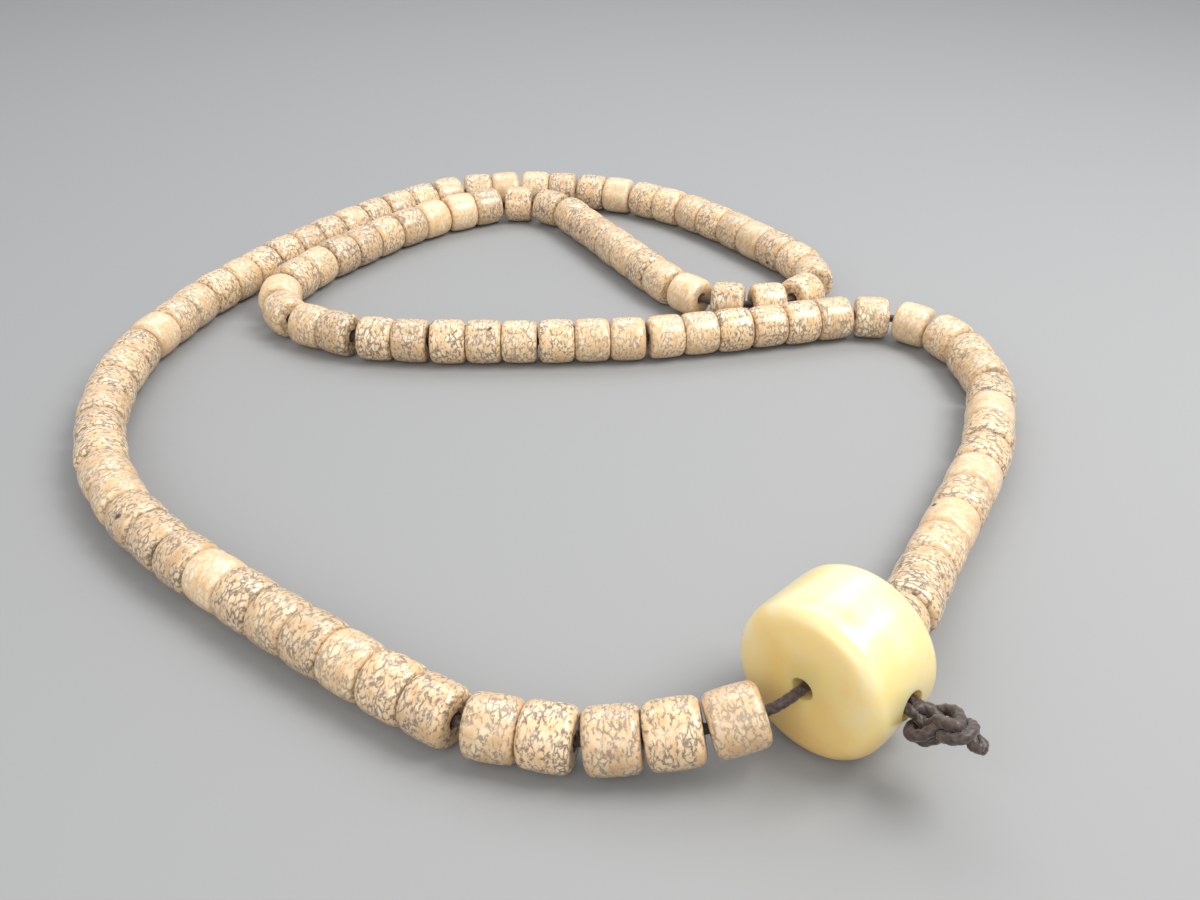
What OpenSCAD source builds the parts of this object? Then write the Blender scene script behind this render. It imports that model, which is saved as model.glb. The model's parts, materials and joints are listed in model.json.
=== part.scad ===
// Mala: a closed loop of drilled seed beads strung on one waxed cord. A large guru bead closes the loop,
// and the cord's two ends leave it sideways into a finishing knot.
// Millimetres, +Z up. The strand lies on the table at z = 0, and the origin is under the middle of its box.

/* [Seed beads] */
// Diameter of a seed bead at its belly
bead_d = 10.2; // [8.5:0.1:12]
// Length of a seed bead along its hole
bead_l = 7.9; // [6:0.1:11]
// Diameter of the flat round the hole at each end of a seed bead
bead_flat_d = 7; // [5:0.1:8]
// Rounding between a seed bead's flat ends and its belly
bead_shoulder = 1.2; // [0.3:0.1:1.5]

/* [Guru bead] */
// Diameter of the guru bead at its belly
guru_d = 25.1; // [22:0.1:31]
// Length of the guru bead along its hole
guru_l = 16.5; // [13:0.1:20]
// Diameter of the flat at each end of the guru bead
guru_flat_d = 20; // [10:0.1:21]
// Rounding between the guru bead's flat ends and its belly
guru_edge = 3; // [1:0.1:5]

/* [Cord and knot] */
// Diameter of the cord
cord_d = 1.8; // [1.2:0.1:2.2]
// Length of the finishing knot
knot_l = 8; // [6:0.5:14]
// Diameter of the finishing knot over its turns
knot_d = 6.6; // [5:0.1:9]
// Turns that show along the knot
knot_turns = 3; // [2:1:4]
// Length of cord end that shows between the guru bead and the knot
neck_l = 1; // [0.5:0.1:3]
// Length of the longer cut tail past the knot
tail_l = 3; // [2:0.5:8]
// Length of the shorter cut tail, as a share of the longer one
short_tail = 0.75; // [0.3:0.05:1]
// Angle that the two cut tails spread apart
tail_spread = 50; // [20:5:80]

/* [Clearances] */
// Gap between the cord and the hole of a seed bead, on each side
seed_hole_play = 0.6; // [0.3:0.05:1]
// Gap between the cord and the hole along the guru bead, on each side
guru_hole_play = 0.8; // [0.4:0.05:1.5]
// Gap between the two cord ends and the side hole that they leave the guru bead by
side_hole_play = 0.475; // [0.3:0.025:0.9]
// Gap between two seed beads that lie in one straight run
bead_gap = 0.1; // [0.1:0.01:1]
// Least gap between neighbouring runs of seed beads
run_gap = 0.26; // [0.2:0.01:1]
// Cord between the guru bead's near mouth and the first seed bead
near_slack = 4.3; // [3:0.1:7]
// Cord between the last seed bead and the guru bead's far mouth
far_slack = 2; // [1.5:0.1:6]
// Least gap between stretches of the strand that lie side by side
lane_gap = 0.35; // [0.3:0.05:2]
// Gap between the loop of cord and the two cord ends where they part inside the guru bead
cord_gap = 0.25; // [0.2:0.05:0.5]

/* [Hidden] */
$fn = 32;

// The beads are drawn in straight runs along the strand: one bead at a bend, up to three where it is straight.
run_beads = [
    1, 1, 1, 2, 2, 3, 3, 2, 2, 2, 2, 2, 3, 3, 3, 2, 2, 1, 2, 2, 2, 2, 2, 3, 1, 1, 1, 1,
    1, 1, 1, 3, 3, 1, 1, 2, 2, 3, 2, 1, 1, 2, 2, 3, 3, 3, 3, 1, 1, 1, 2, 3, 2, 3, 2, 1
];
run_names = [for (i = [1 : len(run_beads)]) str("seed_beads_", i < 10 ? "0" : "", i)];

// Guru bead: its place on the table, and the direction of its hole in degrees from +X
guru_at = [41.1, -91.8];
guru_turn = 45;
// Where the strand starts and ends, beyond the slack of cord at each mouth: sideways, and lift
near_shift = [-1.9, 0.66];
far_shift = [0, 0.68];
// The strand's route, from the guru bead's near mouth all the way round to its far one: x, y and lift,
// which is 0 where the beads lie on the table and 1 at the height of the guru bead's hole.
route = [
    [27.5, -99.8, 0.52], [20, -100.2, 0.3], [12.5, -100.2, 0.12], [4, -100, 0], [-4.5, -98.5, 0],
    [-12, -95, 0], [-26, -85, 0], [-40, -74.5, 0], [-54, -64, 0], [-67, -52.5, 0],
    [-77.5, -39.5, 0], [-84.5, -23, 0], [-88, -5.5, 0], [-87.5, 12, 0], [-83, 28, 0],
    [-76, 43.5, 0], [-67.5, 59.5, 0], [-57.5, 74, 0], [-46.5, 87.5, 0], [-34, 98.5, 0],
    [-25, 103, 0], [-16, 104.5, 0], [1, 103.5, 0], [17, 99.5, 0], [31.5, 89.5, 0],
    [42.5, 76.5, 0], [52.5, 63, 0], [58.5, 52.5, 0], [61, 46, 0], [60.4, 39.5, 0],
    [57, 34.2, 0], [50.8, 31, 0], [43, 30.2, 0], [36.5, 30.6, 0], [31, 33.6, 0],
    [27, 38.5, 0], [23.5, 44.5, 0], [16, 57.5, 0], [7, 76, 0], [2, 85.5, 0], [-4, 91.5, 0],
    [-11, 93.5, 0], [-19, 92.5, 0], [-27.5, 88, 0], [-40.5, 76.5, 0], [-50.5, 64, 0],
    [-60, 49.5, 0], [-63.5, 42, 0], [-64.5, 34.5, 0], [-62.5, 27.5, 0], [-57.5, 21.5, 0],
    [-50.5, 17, 0], [-42.5, 14, 0], [-26, 12, 0], [1, 12.5, 0], [19, 13.5, 0],
    [36, 17, 0], [52, 21.5, 0], [60, 23.8, 0], [67.5, 25, 0], [74.5, 24, 0],
    [80.5, 20, 0], [84.5, 14, 0], [87, 7, 0], [88, -1, 0], [87, -10.5, 0],
    [84, -22, 0], [76, -38.5, 0], [66.5, -53.5, 0], [62.5, -61, 0], [59, -68.5, 0.05],
    [55.5, -77, 0.32]
];
// Distance between the two closest stretches of the route that lie side by side
lane_pitch = 10.3;

// The most that a bead's rounded shoulder takes of the belly's rise over the flat, and of the bead's length
shoulder_of_rise = 0.85;
shoulder_of_length = 0.4;
// Where on its rounded shoulder a bead meets its neighbour at a bend, from 0 at the flat to 1 at the side
meeting_share = 0.6;
// The least share of a step along the strand that is left for beads at a tight bend
least_room = 0.1;
// Fineness: points between two route points, sides of the cord, and points on a shoulder and on a belly
span_steps = 10;
cord_sides = 8;
arc_steps = 3;
belly_steps = 6;

// Holes: the cord passes through the beads, and its two ends leave side by side
bead_hole_d = cord_d + 2 * seed_hole_play;
guru_hole_d = cord_d + 2 * guru_hole_play;
side_hole_d = 2 * cord_d + cord_gap + 2 * side_hole_play;

// ---- outlines ----
// Half outline of a drilled barrel bead, as [radius, height]: flat ends, rounded shoulders and a bulging belly.
function barrel(d, l, flat_d, edge, hole_d) =
    let (
        flat_r = flat_d / 2,
        proud = d / 2 - flat_r,
        r = min(edge, shoulder_of_rise * proud, shoulder_of_length * l),
        arc_z = l / 2 - r,
        belly_r = (proud * proud + arc_z * arc_z - r * r) / (2 * (proud - r)),
        meet = asin(arc_z / (belly_r - r)),
        shoulder = [for (i = [0 : arc_steps]) let (a = 90 - (90 - meet) * i / arc_steps)
            [flat_r + r * cos(a), arc_z + r * sin(a)]],
        belly = [for (i = [1 : belly_steps - 1]) let (a = meet * (1 - 2 * i / belly_steps))
            [d / 2 - belly_r + belly_r * cos(a), belly_r * sin(a)]],
        lower = [for (i = [arc_steps : -1 : 0]) [shoulder[i][0], -shoulder[i][1]]]
    )
    concat([[hole_d / 2, l / 2]], shoulder, belly, lower, [[hole_d / 2, -l / 2]]);

// How far a body of revolution reaches along a line that its axis meets at this cosine
function reach(outline, c) = max([for (p = outline) p[1] * abs(c) + p[0] * sqrt(max(0, 1 - c * c))]);

seed_outline = barrel(bead_d, bead_l, bead_flat_d, bead_shoulder, bead_hole_d);
guru_outline = barrel(guru_d, guru_l, guru_flat_d, guru_edge, 0);

// ---- route ----
function unit(v) = v / norm(v);
function bend(a, b) = acos(max(-1, min(1, a * b / (norm(a) * norm(b)))));

// A point of the smooth curve (a cubic B-spline) led by four neighbours, t from the second to the third
function curve(p0, p1, p2, p3, t) =
    (p0 + 4 * p1 + p2 + (3 * p2 - 3 * p0) * t + (3 * p0 - 6 * p1 + 3 * p2) * t * t
        + (3 * p1 - p0 - 3 * p2 + p3) * t * t * t) / 6;

guru_dir = [cos(guru_turn), sin(guru_turn), 0];
side_dir = [cos(guru_turn - 90), sin(guru_turn - 90), 0];
mouth = guru_l / 2;

// The route at a given scale, from one mouth of the guru bead to the other, as closely spaced points
function strand(k) =
    let (
        low = bead_d / 2,
        rise = guru_d / 2 - low,
        middle = [guru_at[0] * k, guru_at[1] * k, guru_d / 2],
        first = middle - guru_dir * (mouth + near_slack) + side_dir * near_shift[0],
        last = middle + guru_dir * (mouth + far_slack) + side_dir * far_shift[0],
        pegs = concat(
            [middle - guru_dir * mouth, [first[0], first[1], low + rise * near_shift[1]]],
            [for (p = route) [p[0] * k, p[1] * k, low + rise * p[2]]],
            [[last[0], last[1], low + rise * far_shift[1]], middle + guru_dir * mouth]
        ),
        n = len(pegs)
    )
    concat(
        [for (i = [1 : n - 3], step = [0 : span_steps - 1])
            curve(pegs[i - 1], pegs[i], pegs[i + 1], pegs[i + 2], step / span_steps)],
        [curve(pegs[n - 4], pegs[n - 3], pegs[n - 2], pegs[n - 1], 1)]
    );

// Length along the strand that beads can use at each of its points: a bend takes up some, because the beads'
// inner edges meet there. The bend is taken over about half a bead to each side.
meeting_r = bead_flat_d / 2 + meeting_share * bead_shoulder;
half_span = span_steps / 2;
function step_room(points, i) =
    let (
        back = points[i] - points[max(0, i - half_span)],
        on = points[min(len(points) - 1, i + half_span)] - points[i],
        turn = i + 1 < len(points) ? bend(back, on) : 0,
        step = norm(points[i] - points[i - 1])
    )
    max(least_room * step, step - meeting_r * turn / half_span * PI / 180);
function room_along(points) =
    [for (i = 0, s = 0; i < len(points); i = i + 1, s = i < len(points) ? s + step_room(points, i) : s) s];

function total(list) = list * [for (i = list) 1];
run_lengths = [for (k = run_beads) k * bead_l + (k - 1) * bead_gap];
beads_need = total(run_lengths);
need = beads_need + (len(run_beads) - 1) * run_gap;

plain_room = room_along(strand(1));
route_scale = max(need / plain_room[len(plain_room) - 1], (bead_d + lane_gap) / lane_pitch);

points = strand(route_scale);
room = room_along(points);
// Whatever length is left over once the beads are on is shared by the gaps between the runs.
spare = (room[len(room) - 1] - beads_need) / (len(run_beads) - 1);
joint_at = [for (i = 0, s = 0; i <= len(run_beads);
    s = s + (i < len(run_beads) ? run_lengths[i] : 0) + spare, i = i + 1) s];

tables = [for (k = [0 : 2]) [for (i = [0 : len(points) - 1]) [room[i], points[i][k]]]];
function place(s) = [for (t = tables) lookup(s, t)];
raw_joints = [for (s = joint_at) place(s)];

// ---- frame ----
guru_raw = [guru_at[0] * route_scale, guru_at[1] * route_scale, guru_d / 2];
end_x = cord_d / 2 + cord_gap / 2;
knot_from = guru_d / 2 + neck_l;
tail_tip = knot_from + knot_l + tail_l * cos(tail_spread / 2);

// Lowest and highest reach of everything along one axis, k = 0 for X and 1 for Y
function reaches(k) = concat(
    [for (i = [0 : len(run_beads) - 1]) let (
        a = raw_joints[i], b = raw_joints[i + 1], u = unit(b - a), half = run_lengths[i] / 2
    ) [(a[k] + b[k]) / 2, reach([for (p = seed_outline) [p[0], abs(p[1]) + half - bead_l / 2]], u[k])]],
    [[guru_raw[k], reach(guru_outline, guru_dir[k])], [guru_raw[k] + side_dir[k] * tail_tip, 0]]
);
function middle_of(k) = let (r = reaches(k))
    (min([for (e = r) e[0] - e[1]]) + max([for (e = r) e[0] + e[1]])) / 2;
shift = [-middle_of(0), -middle_of(1), 0];

joints = [for (p = raw_joints) p + shift];
guru_mid = guru_raw + shift;

// ---- drawing ----
module facing(direction) {
    rotate([0, acos(direction[2] / norm(direction)), atan2(direction[1], direction[0])]) children();
}

// At the guru bead's centre, with its long hole along X and its side hole along -Y
module at_guru() {
    translate(guru_mid) rotate(guru_turn) children();
}

// One straight run of seed beads between two points of the cord
module seed_run(i) {
    a = joints[i];
    b = joints[i + 1];
    color("peru")
        translate((a + b) / 2)
            facing(b - a)
                for (k = [0 : run_beads[i] - 1])
                    translate([0, 0, (k - (run_beads[i] - 1) / 2) * (bead_l + bead_gap)])
                        rotate_extrude()
                            polygon(seed_outline);
}

module guru_bead() {
    color("gold")
        at_guru()
            difference() {
                rotate([0, 90, 0]) rotate_extrude() polygon(guru_outline);
                rotate([0, 90, 0]) cylinder(d = guru_hole_d, h = 2 * guru_l, center = true);
                rotate([90, 0, 0]) cylinder(d = side_hole_d, h = guru_d);
            }
}

// The cord's loop: a tube through every bead and straight through the guru bead
cord_stops = concat([guru_mid - guru_dir * mouth], joints, [guru_mid + guru_dir * mouth]);
module cord_loop() {
    n = len(cord_stops);
    rings = [for (i = [0 : n - 1]) let (
        before = unit(cord_stops[i] - cord_stops[(i + n - 1) % n]),
        after = unit(cord_stops[(i + 1) % n] - cord_stops[i]),
        along = unit(before + after),
        across = unit(cross(along, [0, 0, 1])),
        up = cross(across, along)
    ) for (k = [0 : cord_sides - 1]) let (a = 360 * k / cord_sides)
        cord_stops[i] + (across * cos(a) + up * sin(a)) * cord_d / 2];
    faces = [for (i = [0 : n - 1], k = [0 : cord_sides - 1]) let (
        j = (i + 1) % n,
        m = (k + 1) % cord_sides
    ) [i * cord_sides + k, j * cord_sides + k, j * cord_sides + m, i * cord_sides + m]];
    color("saddlebrown") polyhedron(rings, faces);
}

// The two ends of the cord, side by side in the third hole, from beside the loop to the knot
module cord_ends() {
    start = cord_d / 2 + cord_gap;
    color("saddlebrown")
        at_guru()
            for (x = [-end_x, end_x])
                translate([x, -start, 0]) rotate([90, 0, 0]) cylinder(d = cord_d, h = knot_from - start);
}

// The finishing knot: turns of cord drawn tight round the ends, and two cut tails
module finishing_knot() {
    turn_r = knot_l / knot_turns / 2;
    color("saddlebrown")
        at_guru()
            rotate([90, 0, 0])
                translate([0, 0, knot_from]) {
                    cylinder(r = knot_d / 2 - turn_r, h = knot_l);
                    for (i = [0 : knot_turns - 1])
                        translate([0, 0, turn_r * (2 * i + 1)])
                            rotate_extrude()
                                intersection() {
                                    translate([knot_d / 2 - turn_r, 0]) circle(turn_r);
                                    translate([0, -knot_l]) square([knot_d, 2 * knot_l]);
                                }
                    for (side = [-1, 1])
                        translate([side * end_x, 0, knot_l - turn_r])
                            rotate([0, side * tail_spread / 2, 0])
                                cylinder(d = cord_d, h = turn_r + (side > 0 ? tail_l : short_tail * tail_l));
                }
}

cord_loop();
guru_bead();
cord_ends();
finishing_knot();
for (i = [0 : len(run_names) - 1])
    seed_run(i);
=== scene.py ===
# %% [markdown]
# # A mala of bodhi seeds with an amber guru bead
# A mala is a closed loop of drilled seeds on one waxed cord. This file dresses a imported model of
# it: the model's bodies, holes and joints stay as they are, and every piece that is seen is
# modelled here around them. The work starts by loading that model.

# %% Load the imported model
import json
import math
import random

import bmesh
import bpy
from mathutils import Matrix, Vector


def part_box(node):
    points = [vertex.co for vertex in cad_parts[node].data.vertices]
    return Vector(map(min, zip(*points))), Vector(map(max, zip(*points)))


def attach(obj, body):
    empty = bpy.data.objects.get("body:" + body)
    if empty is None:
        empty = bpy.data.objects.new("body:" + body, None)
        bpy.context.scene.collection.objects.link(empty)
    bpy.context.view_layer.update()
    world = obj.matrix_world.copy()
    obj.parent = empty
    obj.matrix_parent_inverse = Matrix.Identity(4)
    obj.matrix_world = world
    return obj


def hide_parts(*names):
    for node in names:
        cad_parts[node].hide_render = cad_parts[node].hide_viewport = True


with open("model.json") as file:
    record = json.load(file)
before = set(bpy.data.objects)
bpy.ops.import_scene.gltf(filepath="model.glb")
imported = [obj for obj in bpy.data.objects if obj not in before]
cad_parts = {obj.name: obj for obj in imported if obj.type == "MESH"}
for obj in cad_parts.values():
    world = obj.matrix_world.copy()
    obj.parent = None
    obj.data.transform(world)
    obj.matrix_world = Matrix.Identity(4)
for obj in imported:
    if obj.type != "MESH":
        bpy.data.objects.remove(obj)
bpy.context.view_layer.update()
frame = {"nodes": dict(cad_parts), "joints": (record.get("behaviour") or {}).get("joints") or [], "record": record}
MM = 0.001

# %% [markdown]
# ## Reading the strand from the model
# Every straight run of seeds spins about its own stretch of cord, so each spin joint gives a run's
# middle and direction. A run's length, thickness and hole come from its solid, measured along and
# across that direction. The strand's route, its seeds' size and their number are then never typed
# in by hand, and a changed model gives a changed strand.

# %% Measure the runs
bodies = frame["record"]["behaviour"]["bodies"]


def measured(node, middle, axis):
    """Length, outer radius and hole radius of a solid round an axis, in metres."""
    along, out = [], []
    for vertex in frame["nodes"][node].data.vertices:
        offset = vertex.co - middle
        along.append(offset.dot(axis))
        out.append((offset - along[-1] * axis).length)
    return max(along) - min(along), max(out), min(out)


runs = []
for joint in frame["joints"]:
    if joint["name"].startswith("seed_spin"):
        node = bodies[joint["child"]][0]
        middle, axis = Vector(joint["pos_m"]), Vector(joint["axis"]).normalized()
        length, radius, hole = measured(node, middle, axis)
        runs.append({"body": joint["child"], "node": node, "middle": middle, "axis": axis, "length": length})
seed_length = min(run["length"] for run in runs)
seed_radius, seed_hole = radius, hole
for run in runs:
    run["count"] = round(run["length"] / seed_length)
    run["spare"] = [0.0, 0.0]

# Two runs that meet at a bend share its room: each grows by almost half of what is free, or shrinks a little.
TOUCH = 0.82 * seed_radius
SHARE = 0.46
MOST_SPARE = 0.45 * MM
MOST_CUT = 0.12 * MM
for before, after in zip(runs, runs[1:]):
    gap = (after["middle"] - before["middle"]).length - (before["length"] + after["length"]) / 2
    tilt = before["axis"].angle(after["axis"])
    free = gap - 2 * TOUCH * math.tan(tilt / 2)
    before["spare"][1] = after["spare"][0] = min(MOST_SPARE, max(-MOST_CUT, SHARE * free))
print(len(runs), "runs hold", sum(run["count"] for run in runs), "seeds of",
      round(seed_length / MM, 2), "x", round(2 * seed_radius / MM, 2), "mm")

# %% [markdown]
# The guru bead rolls about the loop's cord, so its joint gives its middle and the direction of its
# long hole. The cord's two ends leave it at a right angle to that, on the side where the knot lies.

# %% Measure the guru bead and the cord
roll = next(joint for joint in frame["joints"] if joint["name"] == "guru_roll")
guru_middle, guru_axis = Vector(roll["pos_m"]), Vector(roll["axis"]).normalized()
guru_length, guru_radius, guru_hole = measured("guru_bead", guru_middle, guru_axis)
side_axis = guru_axis.cross(Vector((0, 0, 1))).normalized()
ends_low, ends_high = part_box("cord_ends")
cord_radius = (ends_high.z - ends_low.z) / 2
knot_along = [(v.co - guru_middle).dot(side_axis) for v in frame["nodes"]["finishing_knot"].data.vertices]
knot_start = min(knot_along)
print("guru bead", round(guru_length / MM, 1), "x", round(2 * guru_radius / MM, 1), "mm, cord",
      round(2 * cord_radius / MM, 2), "mm")

# %% [markdown]
# ## Camera
# A slightly wide lens close to the strand, looking down at about a third of a right angle, shows the
# guru bead large in front and the folded strand shrinking behind it. The camera's place is given
# from the guru bead's middle.

# %% Camera
CAMERA_LEFT = 33.7 * MM
CAMERA_BACK = 121.1 * MM
CAMERA_HEIGHT = 127.4 * MM
LOOK_DOWN = 33.1
SENSOR = 36
LENS = 34.5
camera = bpy.data.objects.new("camera", bpy.data.cameras.new("camera"))
bpy.context.scene.collection.objects.link(camera)
bpy.context.scene.camera = camera
camera.data.sensor_width = SENSOR
camera.data.lens = LENS
camera.data.clip_start = 0.005
camera.location = (guru_middle.x - CAMERA_LEFT, guru_middle.y - CAMERA_BACK, CAMERA_HEIGHT)
camera.rotation_euler = (math.radians(90 - LOOK_DOWN), 0, 0)
print("camera stands", round(CAMERA_HEIGHT / MM), "mm up with a", LENS, "mm lens")

# %% [markdown]
# ## Light and floor
# Polished seeds show their form by one soft highlight each, so a soft box like a window hangs above
# and to the right. A wide one hangs behind the strand, another opens the shadows from the front
# left, and an even pale world fills the rest. The floor is a plain matt sheet, wide enough that its
# edge stays far away. Every material below is written with the same few helpers: one turns a hex
# colour to linear, one adds a node, one makes a colour ramp and one starts a material.

# %% Helpers for colours and nodes
bpy.context.scene.view_settings.view_transform = "Standard"


def linear(hex_colour):
    """An sRGB hex colour as linear RGBA."""
    parts = [int(hex_colour[i:i + 2], 16) / 255 for i in (1, 3, 5)]
    return [c / 12.92 if c < 0.04045 else ((c + 0.055) / 1.055) ** 2.4 for c in parts] + [1]


def add(tree, kind, settings=None, links=None):
    """A node with its settings and its inputs, each given as a value or as another node's output."""
    node = tree.nodes.new(kind)
    for name, value in (settings or {}).items():
        setattr(node, name, value)
    for name, value in (links or {}).items():
        socket = node.inputs[name]
        if isinstance(value, bpy.types.NodeSocket):
            tree.links.new(value, socket)
        else:
            socket.default_value = value
    return node


def ramp(tree, fac, stops, interpolation="EASE"):
    """A colour ramp with the given (position, colour) stops."""
    node = add(tree, "ShaderNodeValToRGB", None, {"Fac": fac})
    node.color_ramp.interpolation = interpolation
    while len(node.color_ramp.elements) < len(stops):
        node.color_ramp.elements.new(0.5)
    for element, (position, colour) in zip(node.color_ramp.elements, stops):
        element.position = position
        element.color = colour
    return node.outputs["Color"]


def material(name):
    """An empty node material with a Principled surface: (material, tree, shader)."""
    new = bpy.data.materials.new(name)
    new.use_nodes = True
    new.node_tree.nodes.clear()
    out = add(new.node_tree, "ShaderNodeOutputMaterial")
    shader = add(new.node_tree, "ShaderNodeBsdfPrincipled")
    new.node_tree.links.new(shader.outputs["BSDF"], out.inputs["Surface"])
    return new, new.node_tree, shader


def into_scene(name, data):
    """A new object that holds the data, linked into the scene."""
    new = bpy.data.objects.new(name, data)
    bpy.context.scene.collection.objects.link(new)
    return new


def mesh_of(bm, name):
    """The bmesh as a new mesh; the bmesh is freed."""
    mesh = bpy.data.meshes.new(name)
    bm.to_mesh(mesh)
    bm.free()
    return mesh


print("helpers are ready, colours show as", bpy.context.scene.view_settings.view_transform)

# %% Floor
FLOOR_HALF = 8


def floor_material():
    """Matt grey paper: rough, hardly any gloss."""
    paper, _, shader = material("matt_paper")
    shader.inputs["Base Color"].default_value = linear("#939495")
    shader.inputs["Roughness"].default_value = 0.9
    shader.inputs["Specular IOR Level"].default_value = 0.2
    return paper


floor_bm = bmesh.new()
bmesh.ops.create_grid(floor_bm, x_segments=1, y_segments=1, size=FLOOR_HALF)
floor = into_scene("floor", mesh_of(floor_bm, "floor"))
floor.data.materials.append(floor_material())
print("floor is", 2 * FLOOR_HALF, "m wide")

# %% Lights
AIM = Vector((0, -0.02, 0))


def soft_box(name, place, size, watts, colour):
    """A rectangular lamp that points at the middle of the strand."""
    lamp = bpy.data.lights.new(name, "AREA")
    lamp.shape = "RECTANGLE"
    lamp.size, lamp.size_y = size
    lamp.energy = watts
    lamp.color = linear(colour)[:3]
    holder = into_scene(name, lamp)
    holder.location = place
    holder.rotation_euler = (AIM - Vector(place)).to_track_quat("-Z", "Y").to_euler()


soft_box("window", (0.29, -0.08, 0.42), (0.26, 0.26), 2.3, "#FFFDF8")
soft_box("ceiling", (0.0, 0.3, 0.45), (0.5, 0.3), 1.2, "#F8FAFF")
soft_box("bounce", (-0.25, -0.5, 0.4), (0.6, 0.4), 1.6, "#FFFAF2")
world = bpy.data.worlds.new("world")
bpy.context.scene.world = world
world.use_nodes = True
background = world.node_tree.nodes["Background"]
background.inputs["Color"].default_value = linear("#F2F3F5")
background.inputs["Strength"].default_value = 0.85
print("three soft boxes and an even world light the strand")

# %% [markdown]
# ## One seed
# A bodhi seed is turned to a short barrel and drilled. Its outline needs five corners: the hole's
# edge and the rim at each end, and the belly between them. Spinning that outline makes the solid,
# and bevels round the belly, the rims and the mouths of the hole, as the polisher does. It is made
# once, along Z, and copied for every place on the cord.

# %% Turn one drilled barrel
SEED_STEPS = 36
SEED_RIM_SHARE = 0.93


def turned_barrel(length, radius, hole, rim, steps, rim_round, belly_round, mouth_round, dome=0.0):
    """A drilled barrel along Z as a bmesh: a spun outline, its rims and its belly rounded by bevels."""
    bm = bmesh.new()
    half = length / 2
    corners = [(hole, half), (rim, half - dome), (radius, 0), (rim, dome - half), (hole, -half)]
    ring = [bm.verts.new((r, 0, z)) for r, z in corners]
    for a, b in zip(ring, ring[1:] + ring[:1]):
        bm.edges.new((a, b))
    bmesh.ops.spin(bm, geom=bm.verts[:] + bm.edges[:], cent=(0, 0, 0), axis=(0, 0, 1), dvec=(0, 0, 0),
                   angle=math.tau, steps=steps, use_merge=True)
    bmesh.ops.remove_doubles(bm, verts=bm.verts[:], dist=length * 1e-4)

    def round_ring(r, height, offset, segments):
        """Bevels the ring of edges at one radius and one height."""
        edges = [e for e in bm.edges if all(
            abs(v.co.xy.length - r) < radius * 1e-3 and abs(v.co.z - height) < length * 1e-3
            for v in e.verts)]
        bmesh.ops.bevel(bm, geom=edges, offset=offset, offset_type="OFFSET", segments=segments, profile=0.5,
                        affect="EDGES", material=-1)

    round_ring(radius, 0, belly_round, 6)
    for end in (-1, 1):
        round_ring(rim, end * (half - dome), rim_round, 5)
        round_ring(hole, end * half, mouth_round, 2)
    # The belly's bevel takes a little off the radius, so all but the hole is opened out to it again.
    widest = max(v.co.xy.length for v in bm.verts)
    for v in bm.verts:
        if v.co.xy.length > hole * 1.5:
            v.co.xy *= radius / widest
    bmesh.ops.recalc_face_normals(bm, faces=bm.faces[:])
    return bm


seed_bm = turned_barrel(seed_length, seed_radius, seed_hole, SEED_RIM_SHARE * seed_radius, SEED_STEPS,
                        rim_round=1.2 * MM, belly_round=2.2 * MM, mouth_round=0.25 * MM)
seed_mesh = mesh_of(seed_bm, "one_seed")
print("one seed has", len(seed_mesh.polygons), "faces")

# %% [markdown]
# ## Polished bodhi seed
# The seed is tan and close-grained, with dark veins that wander round it in short strokes, like
# worm tracks. Each vein is the dark line between two cells of a Voronoi pattern, bent by a noise
# and broken up by another. The pattern reads an attribute that holds each seed's own place in
# millimetres, stretched along the hole, so the cells are about 1.6 mm round the seed and 0.9 mm
# along it, and no two seeds are alike. Wax polish gives a broad highlight.

# %% Seed material
VEIN_CELLS = 0.62
VEIN_WANDER = 2.6


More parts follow.
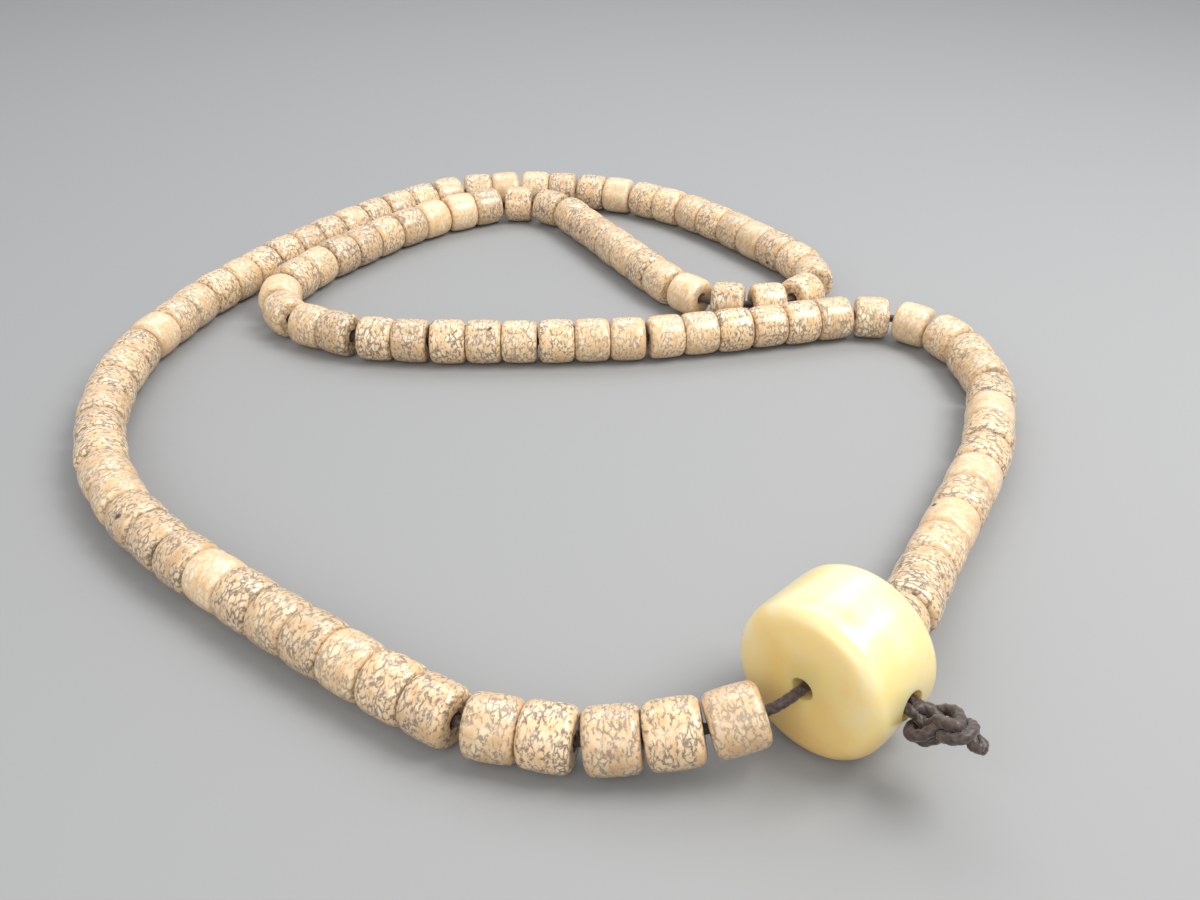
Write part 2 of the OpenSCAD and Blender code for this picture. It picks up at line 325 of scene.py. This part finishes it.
def seed_material():
    """Bodhi seed, turned and wax polished: tan, with broken dark veins and a thin clear coat."""
    bodhi, tree, shader = material("polished_bodhi_seed")
    grain = add(tree, "ShaderNodeAttribute", {"attribute_name": "grain"})
    nature = add(tree, "ShaderNodeAttribute", {"attribute_name": "nature"})
    tone = add(tree, "ShaderNodeSeparateXYZ", None, {"Vector": nature.outputs["Vector"]})
    bend = add(tree, "ShaderNodeTexNoise", None,
               {"Vector": grain.outputs["Vector"], "Scale": 0.55, "Detail": 3, "Roughness": 0.6})
    centred = add(tree, "ShaderNodeVectorMath", {"operation": "SUBTRACT"},
                  {0: bend.outputs["Color"], 1: (0.5, 0.5, 0.5)})
    pushed = add(tree, "ShaderNodeVectorMath", {"operation": "MULTIPLY_ADD"},
                 {0: centred.outputs["Vector"], 1: (VEIN_WANDER,) * 3, 2: grain.outputs["Vector"]})
    cells = add(tree, "ShaderNodeTexVoronoi", {"feature": "DISTANCE_TO_EDGE"},
                {"Vector": pushed.outputs["Vector"], "Scale": VEIN_CELLS, "Randomness": 1.0})
    fine = add(tree, "ShaderNodeTexNoise", None,
               {"Vector": grain.outputs["Vector"], "Scale": 1.1, "Detail": 4, "Roughness": 0.65})
    patches = add(tree, "ShaderNodeTexNoise", None,
                  {"Vector": grain.outputs["Vector"], "Scale": 0.28, "Detail": 2, "Roughness": 0.5})
    line = add(tree, "ShaderNodeMapRange", {"interpolation_type": "SMOOTHSTEP"},
               {"Value": cells.outputs["Distance"], "From Min": 0.02, "From Max": 0.26,
                "To Min": 1, "To Max": 0})
    crowd = add(tree, "ShaderNodeMath", {"operation": "MULTIPLY_ADD"},
                {0: patches.outputs["Fac"], 1: 0.55, 2: fine.outputs["Fac"]})
    broken = add(tree, "ShaderNodeMapRange", {"interpolation_type": "SMOOTHSTEP"},
                 {"Value": crowd.outputs[0], "From Min": 0.66, "From Max": 0.84})
    specks = add(tree, "ShaderNodeMapRange", {"interpolation_type": "SMOOTHSTEP"},
                 {"Value": fine.outputs["Fac"], "From Min": 0.62, "From Max": 0.70, "To Max": 0.75})
    veins = add(tree, "ShaderNodeMath", {"operation": "MULTIPLY"},
                {0: line.outputs["Result"], 1: broken.outputs["Result"]})
    both = add(tree, "ShaderNodeMath", {"operation": "MAXIMUM"},
               {0: veins.outputs[0], 1: specks.outputs["Result"]})
    strength = add(tree, "ShaderNodeMath", {"operation": "MULTIPLY"},
                   {0: both.outputs[0], 1: tone.outputs["Y"]})
    body = ramp(tree, patches.outputs["Fac"],
                [(0.3, linear("#D1AB7C")), (0.5, linear("#DEC098")), (0.72, linear("#E8D4B2"))])
    toned = add(tree, "ShaderNodeHueSaturation", None, {"Value": tone.outputs["X"], "Color": body})
    veined = add(tree, "ShaderNodeMix", {"data_type": "RGBA"},
                 {0: strength.outputs[0], 6: toned.outputs["Color"], 7: linear("#7E6957")})
    pitted = add(tree, "ShaderNodeMix", {"data_type": "RGBA"},
                 {0: tone.outputs["Z"], 6: veined.outputs[2], 7: linear("#3A2A20")})
    bump = add(tree, "ShaderNodeBump", None,
               {"Height": both.outputs[0], "Strength": 0.07, "Distance": 0.1 * MM})
    bump.invert = True
    tree.links.new(pitted.outputs[2], shader.inputs["Base Color"])
    tree.links.new(bump.outputs["Normal"], shader.inputs["Normal"])
    shader.inputs["Roughness"].default_value = 0.42
    shader.inputs["IOR"].default_value = 1.5
    shader.inputs["Coat Weight"].default_value = 0.9
    shader.inputs["Coat Roughness"].default_value = 0.22
    return bodhi


bodhi_seed = seed_material()
print("seed material has", len(bodhi_seed.node_tree.nodes), "nodes")

# %% [markdown]
# ## Stringing the seeds
# Each run becomes one piece, because its seeds turn together. Every seed is a copy of the turned
# barrel, made a little narrower and a little oval, and turned to a random angle. Some get a worm
# hole, cut by bevelling one vertex to small faces and pushing them in. Two attributes go with the
# mesh: grain, the place on the seed for the veins, and nature, which holds its tone, how strongly
# it is veined, and the dark of a pit.

# %% String the runs
rng = random.Random(108)
GAP = 0.06 * MM
PIT_SHARE = 0.16
PIT_DEPTH = 0.35 * MM
PIT_RADIUS = 0.45 * MM
GRAIN_STRETCH = 1.7


def dig_pit(bm, verts, centre, axis):
    """Bevels one vertex of the belly to small faces and sinks them; returns their vertices."""
    belly = [v for v in verts if abs((v.co - centre).dot(axis)) < 0.28 * seed_length
             and (v.co - centre).length > 0.9 * seed_radius]
    spot = rng.choice(sorted(belly, key=lambda v: (round(v.co.x, 7), round(v.co.y, 7), round(v.co.z, 7))))
    inward = (centre - spot.co).normalized()
    faces = bmesh.ops.bevel(bm, geom=[spot], offset=PIT_RADIUS, offset_type="OFFSET", segments=2, profile=0.5,
                            affect="VERTICES", material=-1)["faces"]
    inner = bmesh.ops.inset_region(bm, faces=faces, thickness=0.12 * MM, depth=0)["faces"]
    deep = {v for face in faces for v in face.verts}
    for v in deep:
        v.co += inward * PIT_DEPTH
    return deep | {v for face in inner for v in face.verts}


def string_run(number, run):
    """The seeds of one run as one piece that spins with the run's body."""
    bm = bmesh.new()
    grain = bm.verts.layers.float_vector.new("grain")
    nature = bm.verts.layers.float_vector.new("nature")
    upright = Vector((0, 0, 1)).rotation_difference(run["axis"]).to_matrix().to_4x4()
    long = run["length"] + sum(run["spare"])
    start = run["middle"] - run["axis"] * (run["length"] / 2 + run["spare"][0])
    stretch = (long - GAP * (run["count"] - 1)) / run["count"] / seed_length
    for k in range(run["count"]):
        centre = start + run["axis"] * ((k + 0.5) * stretch * seed_length + k * GAP)
        before = len(bm.verts)
        bm.from_mesh(seed_mesh)
        bm.verts.ensure_lookup_table()
        verts = bm.verts[before:]
        wide, oval = rng.uniform(0.965, 1.0), rng.uniform(0.975, 1.0)
        shape = Matrix.Diagonal((wide, wide * oval, stretch, 1))
        turn = Matrix.Rotation(rng.uniform(0, math.tau), 4, "Z")
        place = Matrix.Translation(centre) @ upright @ turn @ shape
        far = Vector([rng.uniform(-500, 500) for _ in range(3)])
        light = rng.choice((0.88, 0.95, 1.0, 1.04, 1.08)) * rng.uniform(0.97, 1.03)
        vein = rng.choice((0.35, 0.7, 0.85, 0.95, 1.0))
        for v in verts:
            v[grain] = Vector((v.co.x, v.co.y, v.co.z * GRAIN_STRETCH)) / MM + far
            v[nature] = (light, vein, 0)
        bmesh.ops.transform(bm, matrix=place, verts=verts)
        if rng.random() < PIT_SHARE:
            for v in dig_pit(bm, verts, centre, run["axis"]):
                v[nature] = (light, vein, 1)
                v[grain] = far
    bmesh.ops.recalc_face_normals(bm, faces=bm.faces[:])
    mesh = mesh_of(bm, run["node"])
    mesh.shade_smooth()
    mesh.materials.append(bodhi_seed)
    piece = into_scene(f"seeds_{number:02d}", mesh)
    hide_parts(run["node"])
    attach(piece, run["body"])
    return piece


strung = [string_run(i + 1, run) for i, run in enumerate(runs)]
print("strung", sum(len(piece.data.polygons) for piece in strung), "faces of seeds")

# %% [markdown]
# ## Guru bead
# The guru bead is a large turned barrel of amber-coloured resin, with crisper shoulders than the
# seeds. Its long hole takes the loop, and a wider hole bored in from the side takes the cord's two
# ends. The resin is clear enough for light to sink in a few millimetres, which softens its shadow
# side. Slow clouds give it depth. Its colour also holds painted shade and painted light: deeper yellow
# below and paler above, where the lamps light its top. Polish gives it a clear coat.

# %% Amber material
CLOUDS = 0.07 / MM
# Painted light and shade: the resin's colour grows paler with height, so its top looks lit and its bottom shaded.
PAINTED_LIGHT_UPWARDS = 0.022 / MM


def amber_material():
    """Amber-coloured resin, polished: clouded yellow with painted shade below and painted light above, light
    scattered inside and a clear coat.
    """
    amber, tree, shader = material("polished_amber_resin")
    coords = add(tree, "ShaderNodeTexCoord")
    at_bead = add(tree, "ShaderNodeMapping", None,
                  {"Vector": coords.outputs["Object"], "Location": [-c for c in guru_middle]})
    cloud = add(tree, "ShaderNodeTexNoise", None,
                {"Vector": at_bead.outputs["Vector"], "Scale": CLOUDS, "Detail": 3, "Roughness": 0.5,
                 "Distortion": 0.6})
    split = add(tree, "ShaderNodeSeparateXYZ", None, {"Vector": at_bead.outputs["Vector"]})
    # Painted light and shade: height pushes the ramp towards its paler stops at the top and its deeper yellow
    # below.
    height = add(tree, "ShaderNodeMath", {"operation": "MULTIPLY"}, {0: split.outputs["Z"], 1: PAINTED_LIGHT_UPWARDS})
    cloud_and_painted_light = add(tree, "ShaderNodeMath", {"operation": "ADD"}, {0: cloud.outputs["Fac"], 1: height.outputs[0]})
    colour = ramp(tree, cloud_and_painted_light.outputs[0], [
        (0.22, linear("#E2B266")), (0.42, linear("#E6C67C")),
        (0.58, linear("#E6D08C")), (0.8, linear("#E6D8AC"))])
    tree.links.new(colour, shader.inputs["Base Color"])
    shader.inputs["Roughness"].default_value = 0.3
    shader.inputs["IOR"].default_value = 1.54
    shader.inputs["Subsurface Weight"].default_value = 0.5
    shader.inputs["Subsurface Radius"].default_value = (1.0, 0.6, 0.15)
    shader.inputs["Subsurface Scale"].default_value = 6 * MM
    shader.inputs["Coat Weight"].default_value = 0.9
    shader.inputs["Coat Roughness"].default_value = 0.2
    return amber


amber_resin = amber_material()
print("amber material has", len(amber_resin.node_tree.nodes), "nodes")

# %% [markdown]
# The bead is turned like a seed and moved to its place. The side hole is cut by a Boolean with a
# round plug, which gives the clean edge that a drill leaves.

# %% Turn and drill the guru bead
GURU_STEPS = 96
GURU_RIM_SHARE = 0.982
guru_bm = turned_barrel(guru_length, guru_radius, guru_hole, GURU_RIM_SHARE * guru_radius, GURU_STEPS,
                        rim_round=2.5 * MM, belly_round=4.6 * MM, mouth_round=0.35 * MM, dome=0.4 * MM)
lean = Vector((0, 0, 1)).rotation_difference(guru_axis).to_matrix().to_4x4()
stand = Matrix.Translation(guru_middle) @ lean
bmesh.ops.transform(guru_bm, matrix=stand, verts=guru_bm.verts[:])
guru = into_scene("guru", mesh_of(guru_bm, "guru_bead"))

SIDE_HOLE_RADIUS = 2.4 * MM
drill_bm = bmesh.new()
bmesh.ops.create_cone(drill_bm, cap_ends=True, segments=48, radius1=SIDE_HOLE_RADIUS,
                      radius2=SIDE_HOLE_RADIUS, depth=2 * guru_radius)
point = Vector((0, 0, 1)).rotation_difference(side_axis).to_matrix().to_4x4()
bmesh.ops.transform(drill_bm, matrix=Matrix.Translation(guru_middle + side_axis * guru_radius) @ point,
                    verts=drill_bm.verts[:])
drill = into_scene("drill", mesh_of(drill_bm, "drill"))


def apply_all(obj):
    """The object's mesh as its modifiers leave it, with the modifiers gone."""
    graph = bpy.context.evaluated_depsgraph_get()
    finished = bpy.data.meshes.new_from_object(obj.evaluated_get(graph))
    obj.modifiers.clear()
    obj.data = finished


bore = guru.modifiers.new("side hole", "BOOLEAN")
bore.operation = "DIFFERENCE"
bore.solver = "EXACT"
bore.object = drill
apply_all(guru)
bpy.data.objects.remove(drill)
for polygon in guru.data.polygons:
    polygon.use_smooth = True
guru.data.set_sharp_from_angle(angle=math.radians(50))
guru.data.materials.clear()
guru.data.materials.append(amber_resin)
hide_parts("guru_bead")
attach(guru, "guru")
print("guru bead has", len(guru.data.polygons), "faces")

# %% [markdown]
# ## Waxed cord
# The cord is three strands laid up together and waxed, dark brown and slightly shiny. A curve whose
# section has three lobes, turning once every few millimetres, gives the lay for far fewer faces
# than three separate strands. The path goes from hole to hole, and the bends fall in the gaps
# between the seeds.

# %% Cord material
def cord_material():
    """Twisted fibres, waxed: dark brown with a soft sheen."""
    waxed, tree, shader = material("waxed_cord")
    coords = add(tree, "ShaderNodeTexCoord")
    fibre = add(tree, "ShaderNodeTexNoise", None,
                {"Vector": coords.outputs["Object"], "Scale": 1.6 / MM, "Detail": 3, "Roughness": 0.6})
    colour = ramp(tree, fibre.outputs["Fac"],
                  [(0.3, linear("#2A1F1B")), (0.6, linear("#4A3A34")), (0.8, linear("#7A645C"))])
    bump = add(tree, "ShaderNodeBump", None,
               {"Height": fibre.outputs["Fac"], "Strength": 0.5, "Distance": 0.08 * MM})
    tree.links.new(colour, shader.inputs["Base Color"])
    tree.links.new(bump.outputs["Normal"], shader.inputs["Normal"])
    shader.inputs["Roughness"].default_value = 0.45
    shader.inputs["Sheen Weight"].default_value = 0.25
    return waxed


waxed_cord = cord_material()
print("cord material has", len(waxed_cord.node_tree.nodes), "nodes")

# %% Lay up a cord along a path
LAY = 4.2 * MM
SECTION_STEPS = 12
LOBE_DEPTH = 0.07


def lobed_section(radius):
    """A closed curve with three lobes, the cord's section."""
    data = bpy.data.curves.new("section", "CURVE")
    spline = data.splines.new("POLY")
    spline.points.add(SECTION_STEPS - 1)
    for i, p in enumerate(spline.points):
        angle = math.tau * i / SECTION_STEPS
        r = radius * (1 - LOBE_DEPTH + LOBE_DEPTH * math.cos(3 * angle))
        p.co = (r * math.cos(angle), r * math.sin(angle), 0, 1)
    spline.use_cyclic_u = True
    return into_scene("section", data)


def smooth_path(points, step):
    """Evenly spaced points of a Catmull-Rom curve through the given ones."""
    dense = []
    padded = [2 * points[0] - points[1]] + points + [2 * points[-1] - points[-2]]
    for a, b, c, d in zip(padded, padded[1:], padded[2:], padded[3:]):
        for i in range(8):
            t = i / 8
            dense.append(0.5 * (2 * b + (c - a) * t + (2 * a - 5 * b + 4 * c - d) * t * t
                                + (3 * b - a - 3 * c + d) * t ** 3))
    dense.append(points[-1])
    even, left = [dense[0]], step
    for a, b in zip(dense, dense[1:]):
        while (b - a).length >= left:
            a = a + (b - a).normalized() * left
            even.append(a)
            left = step
        left -= (b - a).length
    return even


def lay_up(name, paths, radius, step):
    """Twisted cords along the paths, as one mesh object."""
    section = lobed_section(radius)
    data = bpy.data.curves.new(name, "CURVE")
    data.dimensions = "3D"
    data.bevel_mode = "OBJECT"
    data.bevel_object = section
    data.use_fill_caps = True
    data.twist_mode = "MINIMUM"
    for path in paths:
        even = smooth_path(path, step)
        spline = data.splines.new("POLY")
        spline.points.add(len(even) - 1)
        for i, (p, place) in enumerate(zip(spline.points, even)):
            p.co = (*place, 1)
            p.tilt = math.tau * i * step / LAY
            p.radius = min(1, 0.35 + 0.65 * min(i, len(even) - 1 - i) / 2)
    holder = into_scene(name, data)
    graph = bpy.context.evaluated_depsgraph_get()
    mesh = bpy.data.meshes.new_from_object(holder.evaluated_get(graph))
    bpy.data.objects.remove(holder)
    bpy.data.objects.remove(section)
    mesh.shade_smooth()
    mesh.materials.clear()
    mesh.materials.append(waxed_cord)
    piece = into_scene(name, mesh)
    return piece


print("cord is laid up with one turn in", round(LAY / MM, 1), "mm")

# %% [markdown]
# The loop starts and ends inside the guru bead, out of sight, and passes through every seed's hole
# between.

# %% The loop
run_ends = [(run["middle"] - run["axis"] * run["length"] / 2, run["middle"] + run["axis"] * run["length"] / 2)
            for run in runs]
inside_guru = guru_middle + guru_axis * guru_length * 0.1
loop_path = [inside_guru, guru_middle - guru_axis * guru_length / 2]
loop_path.append(run_ends[0][0])
for (start, end), (next_start, _) in zip(run_ends, run_ends[1:]):
    loop_path.append((end + next_start) / 2)
loop_path += [run_ends[-1][1], guru_middle + guru_axis * guru_length / 2, inside_guru]
loop = lay_up("loop_of_cord", [loop_path], cord_radius, 0.7 * MM)
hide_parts("cord_loop")
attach(loop, "cord")
print("cord's loop is", round(sum((b - a).length for a, b in zip(loop_path, loop_path[1:])), 3), "m long")

# %% [markdown]
# ## Finishing knot
# The two ends leave the side hole together, are tied in one tight overhand knot and cut short. A
# knot of this kind shows three or four fat lobes of cord and two stubs. Its path is the overhand
# knot's own curve, drawn once for each end, a cord's width apart.

# %% The two ends
END_SPACING = 1.06


def on_knot(along, across, up):
    """A point given from the guru bead's middle: out of the side hole, along its long hole, and up."""
    return guru_middle + side_axis * along + guru_axis * across + Vector((0, 0, up))


end_stops = (cord_radius + 0.4 * MM, 5 * MM, 9 * MM, knot_start + 0.6 * MM)
end_paths = [[on_knot(along, side * END_SPACING * cord_radius, 0) for along in end_stops] for side in (-1, 1)]
ends = lay_up("ends_of_cord", end_paths, cord_radius, 0.4 * MM)
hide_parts("cord_ends")
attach(ends, "guru")
print("ends reach", round(end_stops[-1] / MM, 1), "mm out from the guru bead's middle")

# %% [markdown]
# The overhand knot's curve is a long trefoil. Near both its ends the curve is calmed to a straight
# line, so that it meets the two ends on one side and the cut tails on the other.

# %% Knot and tails
knot_half = 4 * MM
knot_radius = 3.3 * MM
knot_middle = knot_start + knot_half
KNOT_REACH = 2.12
KNOT_STEPS = 48
CALM_FROM = 1.6
CALM_OVER = 0.55
TAIL_POINTS = ((0.4 * MM, 0.5 * MM), (1.0 * MM, 1.2 * MM))


def overhand(side):
    """One end's path through the knot, beside its twin: a long trefoil, then a cut tail."""
    wide = (knot_radius - cord_radius) / 2
    core = []
    for i in range(KNOT_STEPS + 1):
        t = KNOT_REACH * (2 * i / KNOT_STEPS - 1)
        calm = min(1, max(0, (abs(t) - CALM_FROM) / CALM_OVER))
        calm = calm * calm * (3 - 2 * calm)
        x, y, z = t ** 3 - 3 * t, t ** 4 - 4 * t * t + 2, t ** 5 / 5 - 2 * t
        swing = (1 - calm) * wide
        core.append(Vector((x * (knot_half - cord_radius) / 2, y * swing, z * swing * 1.1)))
    path = []
    for i, p in enumerate(core):
        ahead = (core[min(i + 1, KNOT_STEPS)] - core[max(i - 1, 0)]).normalized()
        out = Vector((0, p.y, p.z)) if p.yz.length > 0.2 * MM else Vector((0, 0.3 * MM, 1 * MM))
        beside = ahead.cross(out).normalized()
        q = p + beside * cord_radius * side
        path.append(on_knot(knot_middle + q.x, q.y, q.z))
    for further, aside in TAIL_POINTS:
        path.append(on_knot(knot_middle + q.x + further, q.y + side * aside, q.z - 0.6 * aside))
    return path


knot = lay_up("knot_of_cord", [overhand(1), overhand(-1)], cord_radius, 0.3 * MM)
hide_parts("finishing_knot")
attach(knot, "guru")
print("knot has", len(knot.data.polygons), "faces")
